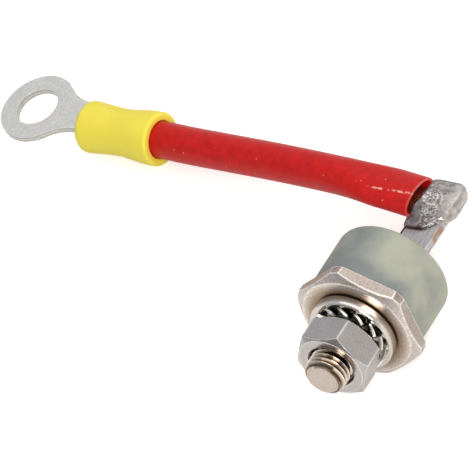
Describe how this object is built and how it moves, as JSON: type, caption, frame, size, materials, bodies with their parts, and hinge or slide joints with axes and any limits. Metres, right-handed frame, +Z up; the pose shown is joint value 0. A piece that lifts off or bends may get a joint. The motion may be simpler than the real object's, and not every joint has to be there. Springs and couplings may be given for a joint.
{
  "type": "rectifier diode",
  "caption": "Stud-mounted rectifier diode with its nut and washers, and a short red lead soldered to its tab that ends in a yellow insulated ring terminal.",
  "frame": {"origin": "on the plane that the diode lies on, under the middle of the box round the diode without its lead and ring terminal", "axes": "+Z up; the stud points along -Y, raised a few degrees as the diode lies; +Y to the tab's end; the lead runs towards -X"},
  "size_m": [0.0875, 0.051, 0.0189],
  "materials": {
    "nickel_plate": "gloss",
    "epoxy": "satin",
    "disc_metal": "satin",
    "silicon": "gloss",
    "coating_rubber": "matte",
    "tinned_copper": "satin",
    "spring_steel": "satin",
    "solder": "satin",
    "copper": "satin",
    "red_sleeve": "satin",
    "yellow_plastic": "satin"
  },
  "bodies": {
    "root": {"stud_base": "nickel_plate", "housing": "epoxy", "lower_disc": "disc_metal", "silicon_die": "silicon", "junction_coating": "coating_rubber", "upper_disc": "disc_metal", "terminal_tab": "tinned_copper", "plain_washer": "nickel_plate", "tooth_washer": "spring_steel", "hex_nut": "nickel_plate", "solder_joint": "solder", "lead_conductor": "copper", "lead_sleeve": "red_sleeve", "ring_terminal": "tinned_copper", "terminal_grip": "yellow_plastic"}
  },
  "joints": []
}
